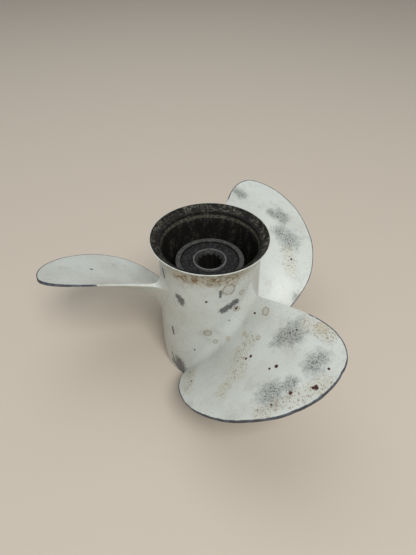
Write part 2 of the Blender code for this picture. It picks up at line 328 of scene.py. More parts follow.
class PropellerFinish(bpy.types.PropertyGroup):
    """Colours of the paint, its wear and the soot; the edge-metal colours also carry painted shade."""

    paint: FloatVectorProperty(
        name="Paint", description="Clean paint",
        default=(0.6, 0.62, 0.57), subtype="COLOR", size=3)
    aged_paint: FloatVectorProperty(
        name="Aged paint", description="Yellowed, dulled paint",
        default=(0.47, 0.47, 0.4), subtype="COLOR", size=3)
    grime: FloatVectorProperty(
        name="Grime", description="Thin grey-brown film",
        default=(0.25, 0.24, 0.21), subtype="COLOR", size=3)
    smudge: FloatVectorProperty(
        name="Smudge", description="Dark grime rubbed into the paint",
        default=(0.045, 0.045, 0.048), subtype="COLOR", size=3)
    rust: FloatVectorProperty(
        name="Rust", description="Rust-brown chips",
        default=(0.085, 0.022, 0.008), subtype="COLOR", size=3)
    rust_shade: FloatVectorProperty(
        name="Rust shade", description="Darkest part of a rust chip",
        default=(0.018, 0.006, 0.003), subtype="COLOR", size=3)
    stain: FloatVectorProperty(
        name="Stain", description="Brown outline of dried drops",
        default=(0.2, 0.12, 0.045), subtype="COLOR", size=3)
    rim_stain: FloatVectorProperty(
        name="Rim stain", description="Yellow-brown tint below the rim",
        default=(0.4, 0.31, 0.17), subtype="COLOR", size=3)
    # Both edge-metal colours are worn metal made darker with painted shade of the blade edges
    bare_metal_shade: FloatVectorProperty(
        name="Bare metal", description="Oxidised metal at the blades' edges",
        default=(0.06, 0.068, 0.082), subtype="COLOR", size=3)
    rubbed_metal_shade: FloatVectorProperty(
        name="Bright metal", description="Rubbed metal at the blades' edges",
        default=(0.13, 0.14, 0.16), subtype="COLOR", size=3)
    # Soot also colours the sleeve's mouth and bore, where it is partly painted shade
    soot: FloatVectorProperty(
        name="Soot", description="Exhaust soot",
        default=(0.01, 0.009, 0.008), subtype="COLOR", size=3)
    sooty_paint: FloatVectorProperty(
        name="Sooty paint", description="Paint showing through the soot",
        default=(0.14, 0.13, 0.095), subtype="COLOR", size=3)
    boss_face: FloatVectorProperty(
        name="Boss face", description="Rubbed end of the inner tube",
        default=(0.085, 0.085, 0.078), subtype="COLOR", size=3)
    rubber: FloatVectorProperty(
        name="Rubber", description="Aged rubber",
        default=(0.009, 0.009, 0.009), subtype="COLOR", size=3)
    dust: FloatVectorProperty(
        name="Dust", description="Dry grey dust",
        default=(0.11, 0.107, 0.10), subtype="COLOR", size=3)
    sleeve: FloatVectorProperty(
        name="Sleeve metal", description="Scuffed metal",
        default=(0.3, 0.3, 0.29), subtype="COLOR", size=3)


class PropellerStage(bpy.types.PropertyGroup):
    """Camera, floor and lights."""

    camera_back: FloatProperty(
        name="Camera back", description="Distance in front of the shaft line", default=0.2924, unit="LENGTH")
    camera_height: FloatProperty(
        name="Camera height", description="Height above the floor", default=0.3535, unit="LENGTH")
    camera_pitch: FloatProperty(
        name="Camera pitch", description="Angle below the horizon",
        default=math.radians(41.87), subtype="ANGLE")
    camera_yaw: FloatProperty(
        name="Camera yaw", description="Turn to the left", default=math.radians(0.30), subtype="ANGLE")
    camera_roll: FloatProperty(
        name="Camera roll", description="Tilt about the view", default=math.radians(-0.10), subtype="ANGLE")
    lens: FloatProperty(
        name="Lens", description="Focal length on a 36 mm tall sensor, in millimetres", default=28.54)
    floor: FloatVectorProperty(
        name="Floor", description="Plain pale floor", default=(0.58, 0.50, 0.41), subtype="COLOR", size=3)
    sky: FloatVectorProperty(
        name="Room light", description="Colour of the soft light all round",
        default=(0.86, 0.90, 0.95), subtype="COLOR", size=3)
    sky_strength: FloatProperty(
        name="Room strength", description="Strength of the light all round", default=0.36)
    key_power: FloatProperty(
        name="Key light", description="Power of the front soft light, in watts", default=23.0)


def deselect_all():
    """Leave nothing selected."""
    if bpy.context.object and bpy.context.object.mode != "OBJECT":
        bpy.ops.object.mode_set(mode="OBJECT")
    bpy.ops.object.select_all(action="DESELECT")


def pick(piece):
    """Make one piece the selected, active object."""
    deselect_all()
    piece.select_set(True)
    bpy.context.view_layer.objects.active = piece


def edit(piece, select="SELECT"):
    """Open a piece in edit mode with all or none of it selected."""
    pick(piece)
    bpy.ops.object.mode_set(mode="EDIT")
    bpy.ops.mesh.select_all(action=select)


def settle(piece):
    """Bring a piece's place into its mesh, so that the object sits at the origin."""
    pick(piece)
    bpy.ops.object.transform_apply(location=True, rotation=True, scale=True)


def face_outwards(piece):
    """Merge doubles and turn the faces of a closed shape outwards."""
    edit(piece)
    bpy.ops.mesh.remove_doubles(threshold=0.000002)
    bpy.ops.mesh.normals_make_consistent(inside=False)
    bpy.ops.object.mode_set(mode="OBJECT")


def smooth(piece, degrees=32.0):
    """Smooth shading that keeps turned corners crisp."""
    pick(piece)
    bpy.ops.object.shade_smooth_by_angle(angle=math.radians(degrees))


def turned(name, section, count):
    """A ring of revolution: a circle extruded ring by ring along a closed (radius, height) section."""
    deselect_all()
    radius, height = section[0]
    bpy.ops.mesh.primitive_circle_add(vertices=count, radius=radius, location=(0.0, 0.0, height))
    piece = bpy.context.object
    piece.name = name
    settle(piece)
    edit(piece)
    bpy.ops.mesh.select_mode(type="EDGE")
    for next_radius, next_height in section[1:]:
        bpy.ops.mesh.extrude_edges_move(TRANSFORM_OT_translate={"value": (0.0, 0.0, next_height - height)})
        grow = next_radius / radius
        bpy.ops.transform.resize(value=(grow, grow, 1.0), center_override=(0.0, 0.0, next_height))
        radius, height = next_radius, next_height
    bpy.ops.mesh.select_all(action="DESELECT")
    bpy.ops.mesh.select_non_manifold(
        extend=False, use_wire=False, use_boundary=True, use_multi_face=False,
        use_non_contiguous=False, use_verts=False)
    bpy.ops.mesh.bridge_edge_loops()
    bpy.ops.object.mode_set(mode="OBJECT")
    face_outwards(piece)
    return piece


def join_solid(body, tool, operation="UNION"):
    """Join a tool to a body, or cut it away, and delete the tool."""
    pick(body)
    modifier = body.modifiers.new(operation.title(), "BOOLEAN")
    modifier.operation = operation
    modifier.solver = "EXACT"
    modifier.object = tool
    bpy.ops.object.modifier_apply(modifier=modifier.name)
    bpy.data.objects.remove(tool)


def bevel_edges(piece, width, degrees, segments=3):
    """Round the edges sharper than an angle."""
    pick(piece)
    modifier = piece.modifiers.new("Bevel", "BEVEL")
    modifier.width = width
    modifier.segments = segments
    modifier.limit_method = "ANGLE"
    modifier.angle_limit = math.radians(degrees)
    bpy.ops.object.modifier_apply(modifier=modifier.name)


def spread(low, high, count):
    """Evenly spaced values from low to high, both included."""
    return [low + (high - low) * i / count for i in range(count + 1)]


def arc(centre, radius, start, end, count):
    """Points of a rounded corner in a section, angles in degrees."""
    return [
        (centre[0] + radius * math.cos(math.radians(a)), centre[1] + radius * math.sin(math.radians(a)))
        for a in spread(start, end, count)
    ]


def polar(radius, angle):
    """A point across the shaft."""
    return Vector((radius * math.cos(angle), radius * math.sin(angle)))


def barrel_radius(sizes, z):
    """Outer radius of the barrel at a height: a slight belly, a neck and the flare."""
    if z < sizes.belly_height:
        share = 1.0 - z / sizes.belly_height
        return sizes.belly_radius + (sizes.forward_radius - sizes.belly_radius) * share ** 2
    if z < sizes.neck_height:
        share = (z - sizes.belly_height) / (sizes.neck_height - sizes.belly_height)
        ease = 0.5 + 0.5 * math.cos(math.pi * share)
        return sizes.neck_radius + (sizes.belly_radius - sizes.neck_radius) * ease
    share = (z - sizes.neck_height) / (sizes.length - sizes.neck_height)
    return sizes.neck_radius + (sizes.rim_radius - sizes.neck_radius) * share ** 2


def barrel_section(sizes):
    """The barrel's section, up the outside, over the rim and down the inside."""
    corner = 0.0005
    heights = spread(corner, sizes.neck_height, 30) + spread(sizes.neck_height, sizes.length - corner, 16)[1:]
    outside = [(barrel_radius(sizes, z), z) for z in heights]
    half = 0.5 * sizes.rim_thickness
    rim = arc((sizes.rim_radius - half, sizes.length - half), half, 20.0, 160.0, 6)
    foot = sizes.length - sizes.funnel_depth
    rim_bore = sizes.rim_radius - sizes.rim_thickness
    funnel = []
    for share in spread(0.06, 1.0, 12):
        bow = math.sin(0.5 * math.pi * share)
        radius = rim_bore + (sizes.funnel_foot - rim_bore) * share
        funnel.append((radius, sizes.length - half - (sizes.funnel_depth - half) * bow))
    back = sizes.funnel_foot + sizes.groove_depth
    low = foot - sizes.groove_width
    groove = [
        (sizes.funnel_foot + 0.0002, foot - 0.0002),
        (back, foot - 0.0002),
        (back, low),
        (sizes.ledge_radius + 0.0004, low),
        (sizes.ledge_radius, low - 0.0004),
    ]
    ledge = [(sizes.bore + 0.0003, low - sizes.ledge_depth), (sizes.bore, low - sizes.ledge_depth - 0.0006)]
    inner = [(sizes.bore, z) for z in spread(low - sizes.ledge_depth - 0.006, corner, 14)]
    forward = [(sizes.bore + corner, 0.0), (sizes.forward_radius - corner, 0.0)]
    return outside + rim + funnel + groove + ledge + inner + forward


def tube_section(outer, bore, low, high, outer_round, bore_round):
    """Section of a tube whose four corners are rounded."""
    section = arc((outer - outer_round, low + outer_round), outer_round, -90.0, 0.0, 4)
    section += [(outer, low + (high - low) * 0.5)]
    section += arc((outer - outer_round, high - outer_round), outer_round, 0.0, 90.0, 4)
    section += arc((bore + bore_round, high - bore_round), bore_round, 90.0, 180.0, 4)
    section += [(bore, low + (high - low) * 0.5)]
    section += arc((bore + bore_round, low + bore_round), bore_round, 180.0, 270.0, 4)
    return section


def root_radius(sizes, blades):
    """Where the blades start: inside the barrel's wall."""
    return sizes.bore + blades.bite


def span_share(sizes, blades, radius):
    """Share of the blade's span at a radius."""
    root = root_radius(sizes, blades)
    return (radius - root) / (blades.tip_radius - root)


def lead(sizes, blades, radius):
    """Rise of the blade's face per radian at a radius."""
    inward = (1.0 - span_share(sizes, blades, radius)) ** 3
    return (blades.pitch + (blades.root_pitch - blades.pitch) * inward) / TURN


def face_height(sizes, blades, radius, angle):
    """Height of the blade's aft face: a raked helicoid."""
    root = root_radius(sizes, blades)
    out = radius - root
    rake = math.tan(blades.root_rake) * out
    easing = math.tan(blades.tip_rake) - math.tan(blades.root_rake)
    rake += easing * out ** 2 / (2.0 * (blades.tip_radius - root))
    return blades.height + rake + lead(sizes, blades, radius) * angle


def face_point(sizes, blades, index, radius, angle, depth=0.0):
    """A point depth forward of a blade's aft face, square to its section's chord."""
    rise = lead(sizes, blades, radius)
    slope = math.hypot(rise, radius)
    turn = angle + depth * rise / slope / radius + blades.first_angle + TURN * index / BLADE_COUNT
    flat = polar(radius, turn)
    return Vector((flat.x, flat.y, face_height(sizes, blades, radius, angle) - depth * radius / slope))


def smooth_point(points, position):
    """A point on the Catmull-Rom curve through points, at a position counted in points."""
    i = min(int(position), len(points) - 2)
    t = position - i
    b, c = points[i], points[i + 1]
    a = points[i - 1] if i > 0 else b - (c - b)
    d = points[i + 2] if i + 2 < len(points) else c + (c - b)
    square = 2 * a - 5 * b + 4 * c - d
    cube = 3 * b - a - 3 * c + d
    return 0.5 * (2 * b + (c - a) * t + square * t ** 2 + cube * t ** 3)


def edge_line(sizes, blades, leading, seed):
    """One worn edge of a blade across the shaft, from the root to the tip, as closely spaced points."""
    root = root_radius(sizes, blades)
    span = blades.tip_radius - root
    points = [polar(root + share * span, math.radians(degrees)) for share, degrees in OUTLINE]
    last = len(points) - 1
    start = last if leading else 0
    middle = polar(root + 0.45 * span, math.radians(-12.0))
    line = []
    for i in range(EDGE_STEPS + 1):
        point = smooth_point(points, start + (TIP_POINT - start) * i / EDGE_STEPS)
        wear = max(0.0, noise.noise(Vector((point.x * NICK_SCALE, point.y * NICK_SCALE, seed))) - 0.15)
        fade = min(1.0, (EDGE_STEPS - i) / EDGE_FADE, i / EDGE_FADE)
        line.append(point + (middle - point).normalized() * wear * fade * blades.nick * 2.0)
    return line


def at_share(line, lengths, share):
    """Radius and angle of the point at a share of a line's length."""
    left = share * lengths[-1]
    low, high = 0, len(lengths) - 1
    while high - low > 1:
        middle = (low + high) // 2
        if lengths[middle] <= left:
            low = middle
        else:
            high = middle
    piece = lengths[high] - lengths[low]
    point = line[low].lerp(line[high], (left - lengths[low]) / piece)
    return point.length, math.atan2(point.y, point.x)


def running_length(line):
    """Length along a line at each of its points."""
    lengths = [0.0]
    for a, b in zip(line, line[1:]):
        lengths.append(lengths[-1] + (b - a).length)
    return lengths


def fillet_rise(sizes, blades, radius, z, across):
    """How far the root fillet lifts the blade's skin off its section: less towards the leading edge."""
    climb = math.sin(0.5 * math.pi * min(2.0 * across, 1.0))
    size = blades.leading_fillet + (blades.fillet - blades.leading_fillet) * climb
    gap = min(max(radius - barrel_radius(sizes, z), 0.0), size)
    return size - math.sqrt(size ** 2 - (size - gap) ** 2)


def thickness(sizes, blades, radius, across):
    """Section thickness at a share across the chord, from the leading edge to the trailing one."""
    share = min(max(span_share(sizes, blades, radius), 0.0), 1.0)
    middle = blades.root_thickness + (blades.tip_thickness - blades.root_thickness) * share ** 0.7
    bulge = (4.0 * across * (1.0 - across)) ** 0.8
    edge = blades.edge_thickness - blades.trailing_thinning * across * math.sin(math.pi * share)
    return edge + (middle - edge) * bulge


def row_share(sizes, blades, length, row):
    """Share along the edges of a row of the blade's grid: close at the fillet and at the tip."""
    surface = (sizes.forward_radius - root_radius(sizes, blades)) / length
    if row == 0:
        return 0.0
    if row <= FILLET_ROWS:
        climb = 1.0 - math.cos(0.5 * math.pi * (row - 1) / (FILLET_ROWS - 1))
        return surface + climb * blades.fillet / length
    foot = surface + blades.fillet / length
    step = (row - FILLET_ROWS) / (SPAN_ROWS - FILLET_ROWS)
    return foot + (LAST_ROW - foot) * (0.35 * step + 0.65 * math.sin(0.5 * math.pi * step))


def blade(sizes, blades, index):
    """One blade: a grid on the raked helicoid, extruded forward by its thickness, its edges rounded."""
    lead_line = edge_line(sizes, blades, True, LEADING_SEED + index)
    trail_line = edge_line(sizes, blades, False, TRAILING_SEED + index)
    lead_run = running_length(lead_line)
    trail_run = running_length(trail_line)
    deselect_all()
    bpy.ops.mesh.primitive_grid_add(x_subdivisions=CHORD_COLUMNS, y_subdivisions=SPAN_ROWS, size=2.0)
    piece = bpy.context.object
    piece.name = "blade"
    places = {}
    for vertex in piece.data.vertices:
        column = round((vertex.co.x + 1.0) * 0.5 * CHORD_COLUMNS)
        row = round((vertex.co.y + 1.0) * 0.5 * SPAN_ROWS)
        share = row_share(sizes, blades, trail_run[-1], row)
        r_lead, a_lead = at_share(lead_line, lead_run, share)
        r_trail, a_trail = at_share(trail_line, trail_run, share)
        across = 0.5 - 0.5 * math.cos(math.pi * column / CHORD_COLUMNS)
        radius = r_lead + (r_trail - r_lead) * across
        angle = a_lead + (a_trail - a_lead) * across
        lift = fillet_rise(sizes, blades, radius, face_height(sizes, blades, radius, angle), across)
        angle += (2.0 * across - 1.0) * lift / radius
        places[vertex.index] = (radius, angle, lift, thickness(sizes, blades, radius, across))
    edit(piece)
    bpy.ops.mesh.extrude_region_move()
    bpy.ops.object.mode_set(mode="OBJECT")
    count = len(places)
    partner = {}
    tree = kdtree.KDTree(count)
    for i in range(count):
        tree.insert(piece.data.vertices[i].co, i)
    tree.balance()
    for vertex in piece.data.vertices:
        if vertex.index >= count:
            partner[vertex.index] = tree.find(vertex.co)[1]
    for vertex in piece.data.vertices:
        forward = vertex.index in partner
        radius, angle, lift, thick = places[partner.get(vertex.index, vertex.index)]
        depth = thick + lift if forward else -lift
        vertex.co = face_point(sizes, blades, index, radius, angle, depth)
    face_outwards(piece)
    bevel_edges(piece, blades.edge_round, 50.0)
    return piece


def web(sizes, blades, index):
    """A straight web from the boss to the barrel."""
    bite = 0.0012
    inner = sizes.boss_radius - bite
    outer = sizes.bore + bite
    height = sizes.web_aft - sizes.web_forward
    deselect_all()
    bpy.ops.mesh.primitive_cube_add(
        size=1.0,
        location=(0.5 * (inner + outer), 0.0, sizes.web_forward + 0.5 * height),
        scale=(outer - inner, sizes.web_thickness, height),
    )
    piece = bpy.context.object
    piece.name = "web"
    settle(piece)
    bevel_edges(piece, 0.0008, 60.0)
    middle = math.radians(0.5 * (OUTLINE[0][1] + OUTLINE[-1][1]))
    piece.data.transform(Matrix.Rotation(blades.first_angle + middle + TURN * index / BLADE_COUNT, 4, "Z"))
    return piece


def build_casting(sizes, blades):
    """Barrel, boss, webs and blades joined into one skin."""
    body = turned("cast_propeller", barrel_section(sizes), BARREL_SIDES)
    section = tube_section(
        sizes.boss_radius, sizes.boss_bore, sizes.boss_forward, sizes.boss_aft, 0.0008, 0.0007)
    boss = turned("boss", section, BOSS_SIDES)
    for i in range(BLADE_COUNT):
        join_solid(boss, web(sizes, blades, i))
    join_solid(body, boss)
    for i in range(BLADE_COUNT):
        join_solid(body, blade(sizes, blades, i))
    return body


def keep_edge_wear_and_shade(body, sizes, blades):
    """Store how far each point lies in from a blade's edge, and how far that stretch of edge is worn to metal
    and darkened with painted shade.
    """
    places = []
    for i in range(BLADE_COUNT):
        for leading in (True, False):
            seed = LEADING_SEED if leading else TRAILING_SEED
            line = edge_line(sizes, blades, leading, seed + i)
            for point in line[::2]:
                angle = math.atan2(point.y, point.x)
                middle = face_point(sizes, blades, i, point.length, angle, 0.5 * blades.edge_thickness)
                through = face_point(sizes, blades, i, point.length, angle) - middle
                outboard = (point.length - PAINTED_EDGE) / (BARE_SHADE_EDGE - PAINTED_EDGE)
                bare_shade = 1.0 if leading else min(max(outboard, 0.0), 1.0)
                places.append((middle, through.normalized(), bare_shade))
    tree = kdtree.KDTree(len(places))
    for i, place in enumerate(places):
        tree.insert(place[0], i)
    tree.balance()
    insets = []
    bare_shade_share = []
    for vertex in body.data.vertices:
        place = places[tree.find(vertex.co)[1]]
        away = vertex.co - place[0]
        insets.append((away - place[1] * away.dot(place[1])).length)
        bare_shade_share.append(place[2])
    for name, values in (("edge_inset", insets), ("edge_bare_shade", bare_shade_share)):
        body.data.attributes.new(name, "FLOAT", "POINT").data.foreach_set("value", values)


class Nodes:
    """A short hand for building a node tree."""

    def __init__(self, tree):
        self.tree = tree

    def put(self, kind, inputs=(), **settings):
        """Add a node, set its settings, and set or link its inputs, which are named or numbered."""
        node = self.tree.nodes.new(kind)
        for name, value in settings.items():
            setattr(node, name, value)
        for name, value in dict(inputs).items():
            if isinstance(value, bpy.types.NodeSocket):
                self.tree.links.new(value, node.inputs[name])
            else:
                node.inputs[name].default_value = value
        return node

    def math(self, operation, a, b=0.0, clamp=False):
        """A Math node's value."""
        return self.put("ShaderNodeMath", {0: a, 1: b}, operation=operation, use_clamp=clamp).outputs[0]

    def times(self, a, b):
        """A product."""
        return self.math("MULTIPLY", a, b)

    def plus(self, a, b):
        """A sum."""
        return self.math("ADD", a, b)

    def minus(self, a, b):
        """A difference."""
        return self.math("SUBTRACT", a, b)

    def rest(self, mask):
        """What a mask leaves out."""
        return self.math("SUBTRACT", 1.0, mask)

    def vector(self, operation, a, b):
        """A Vector Math node's first output."""
        return self.put("ShaderNodeVectorMath", {0: a, 1: b}, operation=operation).outputs[0]

    def dot(self, a, b):
        """The dot product of two vectors."""
        return self.put("ShaderNodeVectorMath", {0: a, 1: b}, operation="DOT_PRODUCT").outputs["Value"]

    def distance(self, a, b):
        """The distance between two points."""
        return self.put("ShaderNodeVectorMath", {0: a, 1: b}, operation="DISTANCE").outputs["Value"]

    def from_shaft(self, place):
        """Distance from the shaft line."""
        return self.distance(self.vector("MULTIPLY", place, (1.0, 1.0, 0.0)), (0.0, 0.0, 0.0))

    def between(self, value, low, high):
        """Smooth step of a value from low to high."""
        limits = {"Value": value, "From Min": low, "From Max": high}
        return self.put("ShaderNodeMapRange", limits, interpolation_type="SMOOTHSTEP").outputs["Result"]

    def blend(self, factor, a, b):
        """Mix two colours."""
        node = self.put("ShaderNodeMix", data_type="RGBA")
        for socket, value in (("Factor", factor), ("A", a), ("B", b)):
            target = [s for s in node.inputs if s.name == socket and s.enabled][0]
            if isinstance(value, bpy.types.NodeSocket):
                self.tree.links.new(value, target)
            else:
                target.default_value = value
        return [s for s in node.outputs if s.enabled][0]

    def noise(self, vector, scale, detail=4.0, roughness=0.55, distortion=0.0):
        """A noise texture's value."""
        settings = {
            "Vector": vector, "Scale": scale, "Detail": detail, "Roughness": roughness,
            "Distortion": distortion}
        return self.put("ShaderNodeTexNoise", settings).outputs["Fac"]

    def bump(self, height, strength, distance):
        """The normal of a surface raised by a height."""
        settings = {"Height": height, "Strength": strength, "Distance": distance}
        return self.put("ShaderNodeBump", settings).outputs["Normal"]

    def group(self, tree, inputs):
        """A node group with its inputs; returns its first output."""
        node = self.put("ShaderNodeGroup", node_tree=tree)
        for name, value in inputs.items():
            if isinstance(value, bpy.types.NodeSocket):
                self.tree.links.new(value, node.inputs[name])
            else:
                node.inputs[name].default_value = value
        return node.outputs[0]

    def feed(self, shader, values):
        """Link values to a shader's inputs by name."""
        for name, value in values.items():
            self.tree.links.new(value, shader.inputs[name])


def new_group(name, inputs, output):
    """An empty shader node group with named inputs and one output: its tree, nodes, inputs and output."""
    tree = bpy.data.node_groups.new(name, "ShaderNodeTree")
    for socket, kind, default in inputs:
        made = tree.interface.new_socket(name=socket, in_out="INPUT", socket_type=kind)
        made.default_value = default
    tree.interface.new_socket(name=output, in_out="OUTPUT", socket_type="NodeSocketFloat")
    start = tree.nodes.new("NodeGroupInput")
    end = tree.nodes.new("NodeGroupOutput")
    return tree, Nodes(tree), start.outputs, end


def worn_mark_group():
    """A blot along a line from start to end whose rim follows a noise."""
    tree, n, given, end = new_group(
        "worn_mark",
        (
            ("Vector", "NodeSocketVector", (0.0, 0.0, 0.0)),
            ("Start", "NodeSocketVector", (0.0, 0.0, 0.0)),
            ("End", "NodeSocketVector", (0.0, 0.0, 0.0)),
            ("Size", "NodeSocketFloat", 0.002),
            ("Rim Noise", "NodeSocketFloat", 0.5),
            ("Raggedness", "NodeSocketFloat", 0.6),
            ("Softness", "NodeSocketFloat", 0.2),
        ),
        "Mask",
    )
    along = n.vector("SUBTRACT", given["End"], given["Start"])
    reach = n.vector("SUBTRACT", given["Vector"], given["Start"])
    share = n.math("DIVIDE", n.dot(reach, along), n.plus(n.dot(along, along), 1e-9), clamp=True)
    nearest = n.put("ShaderNodeVectorMath", {0: along, "Scale": share}, operation="SCALE").outputs[0]
    away = n.distance(reach, nearest)
    swing = n.times(n.minus(given["Rim Noise"], 0.5), given["Raggedness"])
    spread_out = n.plus(n.math("DIVIDE", away, given["Size"]), n.times(swing, 2.0))
    low = n.rest(given["Softness"])
    high = n.plus(1.0, given["Softness"])
    tree.links.new(n.rest(n.between(spread_out, low, high)), end.inputs[0])
    return tree


def ring_mark_group():
    """The dried outline of a drop."""
    tree, n, given, end = new_group(
        "ring_mark",
        (
            ("Vector", "NodeSocketVector", (0.0, 0.0, 0.0)),
            ("Centre", "NodeSocketVector", (0.0, 0.0, 0.0)),
            ("Size", "NodeSocketFloat", 0.003),
            ("Rim Noise", "NodeSocketFloat", 0.5),
        ),
        "Mask",
    )
    swing = n.times(n.minus(given["Rim Noise"], 0.5), 0.9)
    share = n.plus(n.math("DIVIDE", n.distance(given["Vector"], given["Centre"]), given["Size"]), swing)
    off = n.math("ABSOLUTE", n.minus(share, 0.85))
    line = n.rest(n.between(off, 0.04, 0.26))
    fill = n.times(n.rest(n.between(share, 0.75, 0.95)), 0.30)
    tree.links.new(n.math("MAXIMUM", line, fill), end.inputs[0])
    return tree


def speck_group():
    """Small specks scattered where a noise runs high."""
    tree, n, given, end = new_group(
        "specks",
        (
            ("Vector", "NodeSocketVector", (0.0, 0.0, 0.0)),
            ("Scale", "NodeSocketFloat", 400.0),
            ("Share", "NodeSocketFloat", 0.35),
            ("Edge", "NodeSocketFloat", 0.04),
        ),
        "Mask",
    )
    grain = n.noise(given["Vector"], given["Scale"], 3.0, 0.6)
    low = n.rest(given["Share"])
    high = n.plus(low, given["Edge"])
    tree.links.new(n.between(grain, low, high), end.inputs[0])
    return tree


def rgba(colour):
    """A colour property as four numbers."""
    return (colour[0], colour[1], colour[2], 1.0)


def new_material(name):
    """A material with its nodes, its shader, and the object coordinates."""
    material = bpy.data.materials.new(name)
    material.use_nodes = True
    n = Nodes(material.node_tree)
    shader = material.node_tree.nodes["Principled BSDF"]
    place = n.put("ShaderNodeTexCoord").outputs["Object"]
    return material, n, shader, place


def barrel_point(sizes, degrees, height):
    """A point on the barrel's outside."""
    flat = polar(barrel_radius(sizes, height), math.radians(degrees))
    return Vector((flat.x, flat.y, height))


def blot(n, groups, place, ends, size, rim_noise, raggedness, softness):
    """A mark from one end to the other."""
    return n.group(groups["worn_mark"], {
        "Vector": place, "Start": ends[0], "End": ends[1], "Size": size, "Rim Noise": rim_noise,
        "Raggedness": raggedness, "Softness": softness})


def strongest(n, masks):
    """The strongest of several masks at each point."""
    total = masks[0]
    for mask in masks[1:]:
        total = n.math("MAXIMUM", total, mask)
    return total


def paint_material(sizes, blades, finish, groups):
    """Worn off-white paint with rust spots, smudges, drop rings, rim stains, and blade edges worn to metal
    and darkened with painted shade.
    """
    material, n, shader, place = new_material("worn_white_paint")

    def on_blade(index, radius, degrees):
        return face_point(sizes, blades, index, radius, math.radians(degrees))

    def on_barrel(degrees, height):
        return barrel_point(sizes, degrees, height)

    fine = n.noise(place, 900.0, 4.0, 0.7)
    rim_noise = n.noise(place, 420.0, 4.0, 0.6)
    grain = n.noise(place, 170.0, 6.0, 0.7)
    cloud = n.between(n.noise(place, 24.0, 6.0, 0.62), 0.40, 0.68)
    colour = n.blend(n.times(cloud, 0.50), rgba(finish.paint), rgba(finish.aged_paint))
    film = n.between(n.noise(place, 60.0, 7.0, 0.72), 0.50, 0.78)
    colour = n.blend(n.times(film, 0.40), colour, rgba(finish.grime))

    cream = strongest(n, [
        blot(n, groups, place, (on_blade(i, r, d), on_blade(i, r - 0.001, d)), size, grain, 1.0, 0.35)
        for i, r, d, size in CREAM_SPOTS])
    colour = n.blend(n.times(cream, 0.42), colour, rgba(finish.rim_stain))

    smudge = strongest(n, [
        blot(n, groups, place, (on_blade(i, r, d), on_blade(i, r, d - 2.0)), size, grain, 1.7, 0.75)
        for i, r, d, size in SMUDGES])
    dots = n.between(fine, 0.47, 0.62)
    haze = n.plus(n.times(dots, 0.60), 0.34)
    smudge = n.times(smudge, n.times(haze, n.plus(0.55, grain)))
    colour = n.blend(smudge, colour, rgba(finish.smudge))

    patch = strongest(n, [
        blot(n, groups, place, (on_barrel(a, b), on_barrel(c, d)), size, rim_noise, 1.3, 0.40)
        for a, b, c, d, size in BARREL_PATCHES])
    patch = n.times(patch, n.plus(0.78, n.times(dots, 0.22)))
    colour = n.blend(patch, colour, rgba(finish.smudge))

    def ring(centre, size):
        return n.group(groups["ring_mark"], {
            "Vector": place, "Centre": centre, "Size": size, "Rim Noise": rim_noise})

    rings = strongest(n, [
        ring(on_blade(i, r, d), size) for i, r, d, size in BLADE_RINGS] + [
        ring(on_barrel(a, z), size) for a, z, size in BARREL_RINGS])
    colour = n.blend(n.times(rings, 0.62), colour, rgba(finish.stain))

    split = n.put("ShaderNodeSeparateXYZ", {0: place})
    height = split.outputs["Z"]
    round_shaft = n.math("ARCTAN2", split.outputs["Y"], split.outputs["X"])
    band = n.times(n.between(height, *STAIN_FOOT), n.between(round_shaft, *STAIN_START))
    band = n.times(band, n.rest(n.between(round_shaft, *STAIN_END)))
    band = n.times(band, n.rest(n.between(height, *STAIN_TOP)))
    curls = n.put("ShaderNodeTexVoronoi", {"Vector": place, "Scale": 210.0}, feature="DISTANCE_TO_EDGE")
    curl = n.rest(n.between(curls.outputs["Distance"], 0.05, 0.24))
    curl = n.times(curl, n.between(grain, 0.40, 0.56))
    colour = n.blend(n.times(band, 0.42), colour, rgba(finish.rim_stain))
    colour = n.blend(n.times(band, n.times(curl, 0.95)), colour, rgba(finish.stain))
    upper = n.times(n.between(height, 0.1000, 0.1280), n.between(grain, 0.50, 0.66))
    colour = n.blend(n.times(upper, 0.30), colour, rgba(finish.stain))

    everywhere = n.group(groups["specks"], {"Vector": place, "Scale": 760.0, "Share": 0.36, "Edge": 0.05})
    colour = n.blend(n.times(everywhere, 0.60), colour, rgba(finish.grime))
    inset = n.put("ShaderNodeAttribute", attribute_name="edge_inset").outputs["Fac"]
    near_edge = n.rest(n.between(inset, 0.002, 0.024))
    edge_dots = n.group(groups["specks"], {"Vector": place, "Scale": 820.0, "Share": 0.40, "Edge": 0.07})
    colour = n.blend(n.times(n.times(edge_dots, near_edge), 0.55), colour, rgba(finish.grime))

    bands = strongest(n, [
        blot(n, groups, place, (on_blade(i, r, d), on_blade(i, r_end, d_end)), size, grain, 1.2, 0.55)
        for i, r, d, r_end, d_end, size in SPECK_BANDS])
    band_dots = n.group(groups["specks"], {"Vector": place, "Scale": 700.0, "Share": 0.435, "Edge": 0.05})
    colour = n.blend(n.times(bands, 0.16), colour, rgba(finish.rim_stain))
    colour = n.blend(n.times(n.times(band_dots, bands), 0.80), colour, rgba(finish.stain))

    rust = strongest(n, [
        blot(n, groups, place, (on_blade(i, r, d), on_blade(i, r + 0.0003, d)), size, rim_noise, 1.0, 0.14)
        for i, r, d, size in RUST_SPOTS] + [
        blot(n, groups, place, (on_barrel(a, z), on_barrel(a, z + 0.0003)), size, rim_noise, 1.0, 0.25)
        for a, z, size in BARREL_SPOTS])
    rust_tone = n.blend(n.between(fine, 0.40, 0.60), rgba(finish.rust), rgba(finish.rust_shade))
    colour = n.blend(rust, colour, rust_tone)

    # Darker towards the barrel's forward face, where it sits on the floor
    foot = n.rest(n.between(height, 0.0004, 0.0030))
    colour = n.blend(n.times(foot, n.between(grain, 0.42, 0.55)), colour, rgba(finish.smudge))

